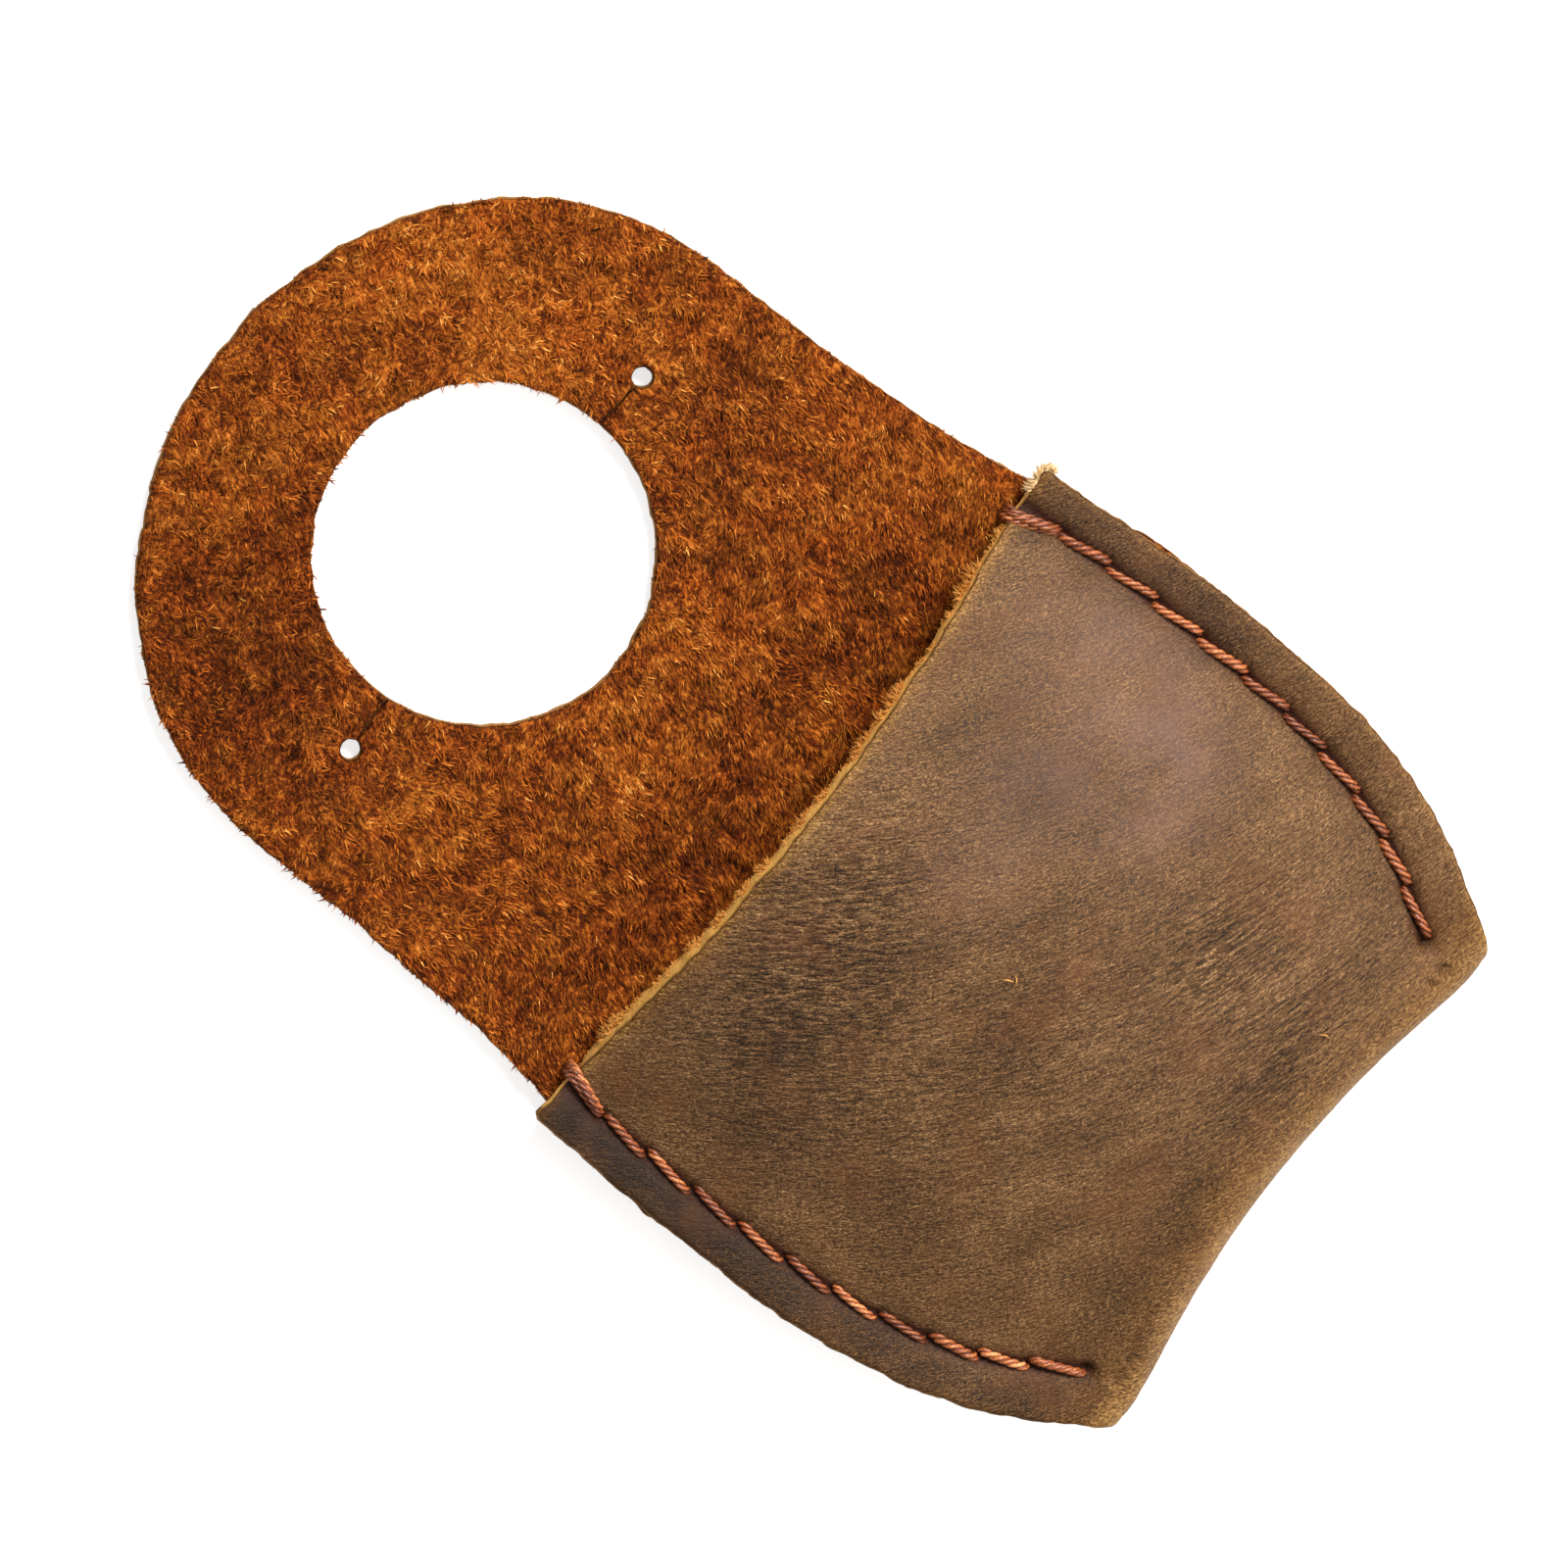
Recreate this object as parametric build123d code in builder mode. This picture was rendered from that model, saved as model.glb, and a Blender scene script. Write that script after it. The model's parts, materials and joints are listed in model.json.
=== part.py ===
from build123d import *
from math import atan2, degrees
import os

# Leather pick holder. One leather blank is folded up into a pocket, and both sides of the pocket are
# closed by a lockstitched seam of two threads. The blank runs on past the pocket's mouth as a round
# hanging tab with a hole that slips over a knob, a button or a stand's tube.
#
# Frame, in millimetres: the origin is on the hanging hole's axis, at the back face. +Z points out of
# the pocket's front, +Y from the pocket towards the tab's round end, and +X across the pocket.

# Driving dimensions
leather = 2.0              # thickness of the leather
hole_radius = 12.5         # hanging hole
tab_half_width = 26.3      # tab, level with the hole
tab_reach = 23.9           # from the hole's centre to the tab's end
relief_radius = 0.8        # punched hole that stops each slit from tearing
relief_offset = 17.0       # from the hole's centre to a relief hole
slit_tilt = 3.5            # degrees by which each slit leans towards the pocket
slit_width = 0.4
bend_y = -20.0             # line on which the tab flexes, between the hole and the mouth
bend_gap = 0.3             # room between the tab's rolled end and the pocket's back
mouth_corner_y = -27.9     # mouth of the pocket at the seams
lip_scoop = 1.0            # how far the lip dips at its middle
split_y = -68.0            # where the front and back panels run into the fold
fold_corner_y = -76.4      # folded edge at the seams
fold_middle_gap = 3.4      # clear gap inside the fold, at its middle
fold_middle_y = -70.0      # centre of the roll at the middle of the fold
corner_radius = 1.6        # rounded ends of the folded edge
mouth_inset = 3.0          # stitch line to the cut edge, at the mouth
fold_inset = 4.2           # and at the fold
thread_radius = 0.45
knot_radius = 0.50         # where a stitch turns down into its hole
strand_radius = 0.42       # the same thread pulled tight down a needle hole
needle_hole_radius = 0.55
first_hole_share = 0.071   # first and last needle holes, as shares of the side's length
last_hole_share = 0.957
stitch_count = 10
thread_sink = 0.5          # depth of the groove that each front stitch pulls into the grain
bobbin_groove = 1.05       # depth of the groove in the back, which hides the bobbin thread

# Outline of the tab and of the pocket's sides, right-hand half, from the hole's level to the fold
tab_side = [(tab_half_width, 0), (26.8, -14.5), (28.0, -26.5)]
pocket_side = [(29.6, mouth_corner_y), (30.2, -36.0), (30.5, -46.0), (29.8, -57.5), (27.5, -66.3), (22.6, -75.6)]

fold_heading = (-0.5, -0.866)      # way that the right side runs where it meets the folded edge

# Height of the pocket's clear gap along its middle, and half the width of the bulge, at four stations
bulge_stations = [
    (-24.0, 7.2, 25.4),
    (-40.0, 6.6, 25.9),
    (-56.0, 5.2, 25.2),
    (split_y, fold_middle_gap, 20.6),
]
# Share of the middle height that the bulge has at each share of its half width
bulge_shape = [(0.0, 1.0), (0.37, 0.83), (0.70, 0.42), (1.0, 0.0)]

two_layers = 2 * leather
past_edge = 34.0           # half width of the tools that are trimmed to the outline
fold_end_half_width = bulge_stations[-1][2]
fold_corner_centre_y = fold_corner_y + leather

os.makedirs("parts", exist_ok=True)


def keep_between(low_y, high_y):
    """Trim the part being built to the slice of length between two values of y."""
    tall = 4 * two_layers
    with Locations((0, (low_y + high_y) / 2, 0)):
        Box(3 * past_edge, high_y - low_y, 2 * tall, mode=Mode.INTERSECT)


def bulge_outline(gap, foot, base_z):
    """Points of the bulge's curve across the pocket, left foot to right foot."""
    right = [(share * foot, base_z + height * gap) for share, height in bulge_shape]
    left = [(-x, z) for x, z in reversed(right[1:])]
    return left + right


# Plan of the whole blank as it lies, folded: tab, back panel and folded edge
with BuildSketch() as blank_plan:
    with BuildLine():
        EllipticalCenterArc((0, 0), tab_half_width, tab_reach, start_angle=0, arc_size=90)
        blank_side_line = Spline(*tab_side, *pocket_side[1:], tangents=((0, -1), fold_heading))
        corner = JernArc(pocket_side[-1], fold_heading, corner_radius, -55)
        Line(corner @ 1, (0, (corner @ 1).Y))
        mirror(about=Plane.YZ)
    make_face()

# Plan of the front panel and the fold: the mouth's lip at the top, with ears wider than the tab
with BuildSketch() as front_plan:
    with BuildLine():
        pocket_side_line = Spline(*pocket_side, tangents=((0.1, -1), fold_heading))
        corner = JernArc(pocket_side[-1], fold_heading, corner_radius, -55)
        Line(corner @ 1, (0, (corner @ 1).Y))
        mirror(about=Plane.YZ)
        ThreePointArc(pocket_side[0], (0, mouth_corner_y - lip_scoop), (-pocket_side[0][0], mouth_corner_y))
    make_face()

# Needle holes of the right seam, evenly spaced along a line set in from the cut edge
needle_holes = []
for step in range(stitch_count + 1):
    share = first_hole_share + (last_hole_share - first_hole_share) * step / stitch_count
    inset = mouth_inset + (fold_inset - mouth_inset) * share
    edge_point = pocket_side_line.position_at(share)
    along = pocket_side_line.tangent_at(share)
    inward = Vector(along.Y, -along.X, 0).normalized()
    needle_holes.append(edge_point + inward * inset)


def seam_places(side):
    """Needle holes of one seam, side +1 right or -1 left, as locations."""
    return [Location((side * hole.X, hole.Y, 0)) for hole in needle_holes]


def stitch_places(side, z):
    """Middle of each stitch, turned so that its X runs along the stitch, and the stitch's length."""
    places = []
    for start, end in zip(needle_holes[:-1], needle_holes[1:]):
        run = Vector(side * (end.X - start.X), end.Y - start.Y, 0)
        middle = Vector(side * (start.X + end.X) / 2, (start.Y + end.Y) / 2, z)
        places.append((Location(middle, (0, 0, degrees(atan2(run.Y, run.X)))), run.length))
    return places


def cut_stitch_grooves(z, depth):
    """Grooves of both seams, cut down from height z, one slot to a stitch."""
    for side in (1, -1):
        for place, length in stitch_places(side, z):
            with BuildSketch(Plane(place)) as groove:
                SlotCenterToCenter(length, 2 * needle_hole_radius)
            extrude(groove.sketch, amount=-depth, mode=Mode.SUBTRACT)


def punch_needle_holes():
    """Round holes of both seams, through the leather being built."""
    with Locations(seam_places(1) + seam_places(-1)):
        Cylinder(needle_hole_radius, 6 * two_layers, mode=Mode.SUBTRACT)


# Hanging tab: hole, two slits that let it stretch over a knob, and a rolled end on the bend line
with BuildPart() as hanging_tab:
    with BuildSketch():
        add(blank_plan.sketch)
        Circle(hole_radius, mode=Mode.SUBTRACT)
        for side, away in ((1, Align.MIN), (-1, Align.MAX)):
            with Locations(Location((0, 0, 0), (0, 0, -side * slit_tilt))):
                Rectangle(relief_offset, slit_width, align=(away, Align.CENTER), mode=Mode.SUBTRACT)
                with Locations((side * relief_offset, 0)):
                    Circle(relief_radius, mode=Mode.SUBTRACT)
    extrude(amount=leather)
    keep_between(bend_y, tab_reach + 1)
    bend_edge = hanging_tab.edges().group_by(Axis.Y)[0].filter_by(Axis.X)[0]
    with Locations(Location((0, bend_y, leather / 2), (0, 90, 0))):
        Cylinder(leather / 2, bend_edge.length)
hanging_tab.part.label = "hanging_tab"

# Back panel of the pocket, with the needle holes and the groove that takes the bobbin threads
with BuildPart() as pocket_back:
    with BuildSketch():
        add(blank_plan.sketch)
    extrude(amount=leather)
    keep_between(split_y, bend_y - leather / 2 - bend_gap)
    cut_stitch_grooves(bobbin_groove, bobbin_groove)
    punch_needle_holes()
pocket_back.part.label = "pocket_back"

# Front panel: flat along both seams, bulged between them, cut by the lip
with BuildPart() as pocket_front:
    for y, gap, foot in bulge_stations:
        with BuildSketch(Plane.XZ.offset(-y)):
            with BuildLine():
                under = Spline(*bulge_outline(gap, foot, leather), tangents=((1, 0), (1, 0)))
                over = Spline(*bulge_outline(gap, foot + 0.4, two_layers), tangents=((1, 0), (1, 0)))
                Polyline(under @ 1, (past_edge, leather), (past_edge, two_layers), over @ 1)
                Polyline(over @ 0, (-past_edge, two_layers), (-past_edge, leather), under @ 0)
            make_face()
    loft()
    with BuildSketch():
        add(front_plan.sketch)
    extrude(amount=4 * two_layers, mode=Mode.INTERSECT)
    keep_between(split_y, 0)
    cut_stitch_grooves(two_layers + knot_radius, thread_sink + knot_radius)
    punch_needle_holes()
pocket_front.part.label = "pocket_front"


def fold_profile(x, low_z, high_z, centre_y):
    """One station of the fold, across the crease: straight layers that run into a half round."""
    middle_z = (low_z + high_z) / 2
    radius = (high_z - low_z) / 2
    with BuildSketch(Plane.YZ.offset(x)) as profile:
        with BuildLine():
            Polyline((centre_y, low_z), (split_y, low_z), (split_y, high_z), (centre_y, high_z))
            ThreePointArc((centre_y, high_z), (centre_y - radius, middle_z), (centre_y, low_z))
        make_face()
    return profile.sketch


# Stations across the fold: x, clear gap, and y of the roll's centre
fold_stations = []
for x, gap in bulge_outline(fold_middle_gap, fold_end_half_width, 0):
    tightness = 1 - gap / fold_middle_gap
    fold_stations.append((x, gap, fold_middle_y + (fold_corner_centre_y - fold_middle_y) * tightness))
tight_stations = [(side * past_edge, 0, fold_corner_centre_y) for side in (-1, 1)]

# Folded edge of the blank: a soft roll in the middle, creased flat at both seams
with BuildPart() as pocket_fold:
    stations = [tight_stations[0], *fold_stations, tight_stations[1]]
    loft([fold_profile(x, 0, two_layers + gap, centre_y) for x, gap, centre_y in stations])
    hollow = [fold_profile(x, leather, leather + max(gap, 0.1), centre_y) for x, gap, centre_y in fold_stations]
    loft(hollow, mode=Mode.SUBTRACT)
    with BuildSketch():
        add(front_plan.sketch)
    extrude(amount=4 * two_layers, mode=Mode.INTERSECT)
    cut_stitch_grooves(bobbin_groove, bobbin_groove)
    cut_stitch_grooves(two_layers + knot_radius, thread_sink + knot_radius)
    punch_needle_holes()
pocket_fold.part.label = "pocket_fold"


def seam_thread(side, surface_z):
    """One thread of a seam: a straight stitch between holes, and a loop down each hole to mid seam."""
    with BuildPart() as thread:
        for place, length in stitch_places(side, surface_z):
            with Locations(place * Rotation(0, 90, 0)):
                Cylinder(thread_radius, length)
        with Locations([place * Location((0, 0, surface_z)) for place in seam_places(side)]):
            Sphere(knot_radius)
        with Locations([place * Location((0, 0, (surface_z + leather) / 2)) for place in seam_places(side)]):
            Cylinder(strand_radius, abs(surface_z - leather))
    return thread.part


# Lockstitched seams: the needle thread lies on the front, the bobbin thread in the back's groove
needle_thread_z = two_layers
bobbin_thread_z = knot_radius + 0.03
right_needle_thread = seam_thread(1, needle_thread_z)
right_needle_thread.label = "right_needle_thread"
right_bobbin_thread = seam_thread(1, bobbin_thread_z)
right_bobbin_thread.label = "right_bobbin_thread"
left_needle_thread = seam_thread(-1, needle_thread_z)
left_needle_thread.label = "left_needle_thread"
left_bobbin_thread = seam_thread(-1, bobbin_thread_z)
left_bobbin_thread.label = "left_bobbin_thread"

export_step(hanging_tab.part, "parts/hanging_tab.step")
export_step(pocket_back.part, "parts/pocket_back.step")
export_step(pocket_front.part, "parts/pocket_front.step")
export_step(pocket_fold.part, "parts/pocket_fold.step")
export_step(right_needle_thread, "parts/right_needle_thread.step")
export_step(right_bobbin_thread, "parts/right_bobbin_thread.step")
export_step(left_needle_thread, "parts/left_needle_thread.step")
export_step(left_bobbin_thread, "parts/left_bobbin_thread.step")
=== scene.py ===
import json
from math import asin, atan2, cos, pi, radians, sin, sqrt

import bpy
import numpy as np
from mathutils import Matrix, Vector
from mathutils.geometry import delaunay_2d_cdt


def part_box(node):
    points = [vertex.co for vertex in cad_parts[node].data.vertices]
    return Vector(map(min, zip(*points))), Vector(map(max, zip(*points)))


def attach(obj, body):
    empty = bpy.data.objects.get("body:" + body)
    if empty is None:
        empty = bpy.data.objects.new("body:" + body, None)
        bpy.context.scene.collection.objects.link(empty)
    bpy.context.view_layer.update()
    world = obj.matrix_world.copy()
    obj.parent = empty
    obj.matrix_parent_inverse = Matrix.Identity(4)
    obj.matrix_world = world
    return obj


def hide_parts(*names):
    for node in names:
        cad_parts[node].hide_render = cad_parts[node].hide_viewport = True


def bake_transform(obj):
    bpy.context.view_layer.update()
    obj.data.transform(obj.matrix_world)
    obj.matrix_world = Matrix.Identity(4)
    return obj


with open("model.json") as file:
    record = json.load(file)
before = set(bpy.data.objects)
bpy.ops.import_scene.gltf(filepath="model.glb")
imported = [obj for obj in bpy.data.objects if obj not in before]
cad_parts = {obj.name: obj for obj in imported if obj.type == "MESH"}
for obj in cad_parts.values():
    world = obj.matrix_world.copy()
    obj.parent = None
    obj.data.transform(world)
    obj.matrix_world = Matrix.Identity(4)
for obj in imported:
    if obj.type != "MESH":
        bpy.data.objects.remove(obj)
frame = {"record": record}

# Leather pick holder. Lengths in this script are in millimetres until a mesh is made.
# The blank is one sheet of leather: it is described by flat points (x, s), where x runs across and s
# runs along the sheet from the tab's end, down the back, round the fold and up the front to the lip.
MM = 0.001
columns = np.column_stack
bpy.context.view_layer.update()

record = frame["record"]
mounts = {mount["name"]: mount for mount in record["mounts"]}


def node_box(name):
    """Lowest and highest corner of a CAD node, in millimetres."""
    low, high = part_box(name)
    return np.array(low) / MM, np.array(high) / MM


back_low, back_high = node_box("pocket_back")
front_high = node_box("pocket_front")[1]
fold_low, fold_high = node_box("pocket_fold")
tab_high = node_box("hanging_tab")[1]

# Driving dimensions
leather = back_high[2] - back_low[2]
half_leather = leather / 2
hole_radius = mounts["hanging_hole"]["dims"]["r_mm"]
tab_reach = tab_high[1]
mouth_y = front_high[1]
fold_corner_y = fold_low[1]
split_y = fold_high[1]
layer_gap = 0.2                 # hairline between the two layers of the seam margins
tab_half_width = 26.3
relief_radius = 0.84
relief_offset = 17.0
slit_half_width = 0.08
slit_tilt = radians(3.5)
lip_scoop = 1.0
lip_half_width = 25.0           # the open part of the lip, between the seams
lip_depth = 7.0                 # along the flat sheet, from the ears' tips to below the whole lip
fold_middle_y = -70.0
corner_radius = 1.6
corner_centre = (21.2, fold_corner_y + corner_radius)
stitch_count = 10
first_hole_share, last_hole_share = 0.071, 0.957
mouth_inset, fold_inset = 3.0, 4.2

# Outline of the right-hand half, as in the CAD model, as (y, x)
tab_side = [(0.0, tab_half_width), (-14.5, 26.8), (-26.5, 28.0)]
pocket_side = [(mouth_y, 29.6), (-36.0, 30.2), (-46.0, 30.5), (-57.5, 29.8), (-66.3, 27.5), (-75.6, 22.6)]
# Clear height inside the pocket along its middle, and the bulge's half width, against y
middle_gap_points = [(mouth_y, 7.1), (-40.0, 6.6), (-56.0, 5.2), (split_y, 3.4), (-76.0, 3.1)]
bulge_foot_points = [(mouth_y, 25.5), (-40.0, 25.9), (-56.0, 25.2), (split_y, 20.9), (-76.0, 19.2)]

# Resolution of the leather, in millimetres
grid_step = 0.5
edge_step = 0.4
seam_step = 0.32
crease_step = 0.28
edge_row_depths = (0.14, 0.36, 0.62)

# Patches of fine creases on the front: middle and reach of each, and how strong they are
crease_patches = [((-6.5, -35.0), (10, 5.5), 1.2), ((10.5, -59.3), (5.5, 3.5), 1.4),
                  ((8.5, -68.0), (9, 4), 0.9), ((-14, -42), (9, 9), 0.6), ((-2, -55), (16, 10), 0.4)]

random = np.random.default_rng(20)
lattice_size = 256
lattice = np.random.default_rng(11).uniform(-1, 1, (lattice_size, lattice_size))


def ripple(points, size, shift=0.0, octaves=3):
    """Smooth random field over flat points, about -1 to 1, whose largest lumps have that size."""
    total = np.zeros(len(points))
    for octave in range(octaves):
        turn = 0.6 * octave + 0.3
        turned = points @ np.array([[cos(turn), sin(turn)], [-sin(turn), cos(turn)]])
        place = turned / size * 2 ** octave + shift + 17.31 * octave
        cell = np.floor(place).astype(int)
        part = place - cell
        part = part * part * (3 - 2 * part)
        low, high = cell % lattice_size, (cell + 1) % lattice_size
        near = lattice[low[:, 0], low[:, 1]] * (1 - part[:, 0]) + lattice[high[:, 0], low[:, 1]] * part[:, 0]
        far = lattice[low[:, 0], high[:, 1]] * (1 - part[:, 0]) + lattice[high[:, 0], high[:, 1]] * part[:, 0]
        total += (near * (1 - part[:, 1]) + far * part[:, 1]) * 0.55 ** octave
    return total


def unit(vectors):
    """The same directions, with a length of 1."""
    return vectors / np.linalg.norm(vectors, axis=1, keepdims=True)


def smooth_curve(points):
    """A smooth function through (key, value) points, flat beyond both ends."""
    keys, values = np.array(sorted(points), float).T
    slopes = np.gradient(values, keys)

    def at(key):
        key = np.clip(key, keys[0], keys[-1])
        cell = np.clip(np.searchsorted(keys, key) - 1, 0, len(keys) - 2)
        span = keys[cell + 1] - keys[cell]
        part = (key - keys[cell]) / span
        square, cube = part ** 2, part ** 3
        start = (2 * cube - 3 * square + 1) * values[cell] + (cube - 2 * square + part) * span * slopes[cell]
        end = (3 * square - 2 * cube) * values[cell + 1] + (cube - square) * span * slopes[cell + 1]
        return start + end

    return at


blank_side = smooth_curve(tab_side + pocket_side[1:])
front_side = smooth_curve(pocket_side)
middle_gap = smooth_curve(middle_gap_points)
bulge_foot = smooth_curve(bulge_foot_points)


def rounded_corner(side, y):
    """Half width of an outline at y, rounded off where it meets the folded edge."""
    centre_x, centre_y = corner_centre
    drop = np.clip(np.abs(y - centre_y), 0, corner_radius)
    arc = centre_x + np.sqrt(corner_radius ** 2 - drop ** 2)
    return np.where(y < pocket_side[-1][0], arc, side(y))


def bulge_share(offset):
    """Height of the bulge as a share of its middle, against the distance from the middle as a share."""
    return np.clip(1 - offset ** 2, 0, 1) ** 1.28


def fold_roll(x):
    """For each x, y of the fold's centre line and its radius at the middle of the leather."""
    tight_y = fold_corner_y + leather
    share = bulge_share(x / bulge_foot(np.full_like(x, -72.0)))
    centre_y = tight_y + (fold_middle_y - tight_y) * share
    gap = layer_gap + middle_gap(centre_y) * share
    return centre_y, (gap + leather) / 2


def middle_surface(flat):
    """Place of flat points at the middle of the leather, folded."""
    x, s = flat[:, 0], flat[:, 1]
    centre_y, radius = fold_roll(x)
    turn = np.clip((s + centre_y) / radius, 0, pi)
    beyond = np.maximum(s + centre_y - pi * radius, 0)
    y = np.where(turn <= 0, -s, centre_y - radius * np.sin(turn)) + beyond
    back_z = half_leather + radius * (1 - np.cos(turn))
    front_gap = layer_gap + middle_gap(y) * bulge_share(x / bulge_foot(y))
    front_z = half_leather + leather + front_gap
    on_front = beyond > 0
    return columns([x, y, np.where(on_front, front_z, back_z)])


def flesh_normal(flat):
    """Unit normals of the folded sheet, out of its flesh side."""
    nudge = 0.05
    across = middle_surface(flat + [nudge, 0]) - middle_surface(flat - [nudge, 0])
    along = middle_surface(flat + [0, nudge]) - middle_surface(flat - [0, nudge])
    return unit(np.cross(along, across))


def fold_line_y(x):
    """y of the folded edge at the middle of the leather."""
    centre_y, radius = fold_roll(x)
    return centre_y - radius


def flat_from_front(x, y):
    """Flat points of places on the pocket's front."""
    centre_y, radius = fold_roll(x)
    return columns([x, y - 2 * centre_y + pi * radius])


def lip_line_y(x):
    """y of the pocket's lip, which is scooped a little between its two ears."""
    return mouth_y - lip_scoop * (1 - (x / pocket_side[0][1]) ** 2)


def resample(line, step):
    """Points about a step apart along an open line of points."""
    lengths = np.concatenate([[0], np.cumsum(np.linalg.norm(np.diff(line, axis=0), axis=1))])
    stops = np.linspace(0, lengths[-1], max(2, int(round(lengths[-1] / step)) + 1))
    return columns([np.interp(stops, lengths, line[:, axis]) for axis in range(line.shape[1])])


def outer_loop():
    """Cut edge of the flat blank, clockwise from the middle of the tab's end, down the right side."""
    turn = np.linspace(pi / 2, 0, 160)
    tab_end = columns([tab_half_width * np.cos(turn), -tab_reach * np.sin(turn)])
    y = np.linspace(0, fold_corner_y + leather, 400)[1:]
    back = columns([rounded_corner(blank_side, y), -y])
    turn = np.linspace(0, pi, 24)[1:-1]
    crease_y = fold_corner_y + leather - 1.9 * np.sin(turn)
    crease_x = rounded_corner(blank_side, crease_y)
    centre_y, radius = fold_roll(crease_x)
    crease = columns([crease_x, -centre_y + radius * turn])
    y = np.linspace(fold_corner_y + leather, mouth_y, 300)
    front = flat_from_front(rounded_corner(front_side, y), y)
    right = np.vstack([tab_end, back, crease, front])
    lip_x = np.linspace(right[-1, 0], 0, 120)[1:]
    lip_y = lip_line_y(lip_x)
    right = resample(np.vstack([right, flat_from_front(lip_x, lip_y)]), edge_step)
    left = right[::-1][1:-1] * [-1, 1]
    return np.vstack([right, left])


def hole_loop():
    """Edge of the hanging hole with a slit and a relief hole at each side, as flat points."""
    half_slit_turn = asin(slit_half_width / hole_radius)
    mouth_turn = asin(slit_half_width / relief_radius)
    start_reach = sqrt(hole_radius ** 2 - slit_half_width ** 2)
    end_reach = relief_offset - sqrt(relief_radius ** 2 - slit_half_width ** 2)
    heading = {"right": -slit_tilt, "left": pi + slit_tilt}

    def arc(start, end):
        count = int(abs(end - start) * hole_radius / edge_step)
        turn = np.linspace(start, end, count + 1)
        return hole_radius * columns([np.cos(turn), np.sin(turn)])

    def slit(angle):
        ahead = np.array([cos(angle), sin(angle)])
        aside = np.array([-sin(angle), cos(angle)])
        reach = np.linspace(start_reach, end_reach, 9)[1:, None]
        turn = np.linspace(pi + mouth_turn, 3 * pi - mouth_turn, 19)[1:-1, None]
        round_end = relief_offset * ahead + relief_radius * (np.cos(turn) * ahead + np.sin(turn) * aside)
        line, shift = reach * ahead, slit_half_width * aside
        return np.vstack([line - shift, round_end, line[::-1] + shift])

    upper = arc(heading["right"] + half_slit_turn, heading["left"] - half_slit_turn)
    lower = arc(heading["left"] + half_slit_turn, heading["right"] - half_slit_turn + 2 * pi)
    loop = np.vstack([upper, slit(heading["left"]), lower, slit(heading["right"])])
    return loop * [1, -1]


def loop_normals(loop, out):
    """Unit normals of a closed loop, all out of it or all into it."""
    run = np.roll(loop, -1, axis=0) - np.roll(loop, 1, axis=0)
    normal = unit(columns([-run[:, 1], run[:, 0]]))
    return normal if inside(loop[:1] + 0.3 * normal[:1], loop)[0] != out else -normal


def inside(points, loop):
    """Which points lie inside a closed loop."""
    result = np.zeros(len(points), bool)
    x, y = points[:, 0], points[:, 1]
    for (x0, y0), (x1, y1) in zip(loop, np.roll(loop, -1, axis=0)):
        if y0 != y1:
            crossed = (y0 > y) != (y1 > y)
            result ^= crossed & (x < (x1 - x0) * (y - y0) / (y1 - y0) + x0)
    return result


def distance_to(points, targets):
    """Distance from each point to the nearest of the targets."""
    batch = 4000
    distance = np.empty(len(points))
    for start in range(0, len(points), batch):
        part = points[start:start + batch]
        squares = ((part[:, None, :] - targets[None, :, :]) ** 2).sum(2)
        distance[start:start + batch] = np.sqrt(squares.min(1))
    return distance


# Stitch line of the right seam in plan, and its needle holes
side_y = np.linspace(mouth_y, pocket_side[-1][0], 500)
side_line = resample(columns([front_side(side_y), side_y]), 0.1)
side_share = np.linspace(0, 1, len(side_line))
side_run = np.gradient(side_line, axis=0)
side_inward = unit(columns([side_run[:, 1], -side_run[:, 0]]))
stitch_line = side_line + side_inward * (mouth_inset + (fold_inset - mouth_inset) * side_share)[:, None]
hole_shares = np.linspace(first_hole_share, last_hole_share, stitch_count + 1)
needle_holes = columns([np.interp(hole_shares, side_share, stitch_line[:, axis]) for axis in (0, 1)])
sewn_line = stitch_line[side_share <= last_hole_share]
both_sewn_lines = np.vstack([sewn_line, sewn_line * [-1, 1]])
both_needle_holes = np.vstack([needle_holes, needle_holes * [-1, 1]])

# Creases of the grain run along this line, and bend away from it towards the fold's right corner
crease_along = np.array([0.615, -0.789])
crease_across = np.array([0.789, 0.615])
crease_bend_start, crease_bend = 21.0, 0.0083


def crease_flow(flat):
    """Coordinates whose first runs along the creases and whose second runs across them."""
    centre_y, radius = fold_roll(flat[:, 0])
    plan = columns([flat[:, 0], flat[:, 1] + 2 * centre_y - pi * radius])
    along = plan @ crease_along
    bent = np.maximum(along - crease_bend_start, 0)
    return columns([along, plan @ crease_across - crease_bend * bent ** 2])


def spot(places, centre, reach):
    """A soft round patch, 1 at its centre and fading over its reach."""
    return np.exp(-(((places - centre) / reach) ** 2).sum(1))


def patchwork(places, patches):
    """Sum of soft round patches, each given by its middle, reach and strength."""
    return sum(strength * spot(places, centre, reach) for centre, reach, strength in patches)


def double_areas(flat, triangles):
    """Twice the signed area of each flat triangle."""
    a, b, c = (flat[triangles[:, corner]] for corner in range(3))
    return (b - a)[:, 0] * (c - a)[:, 1] - (b - a)[:, 1] * (c - a)[:, 0]


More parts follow.
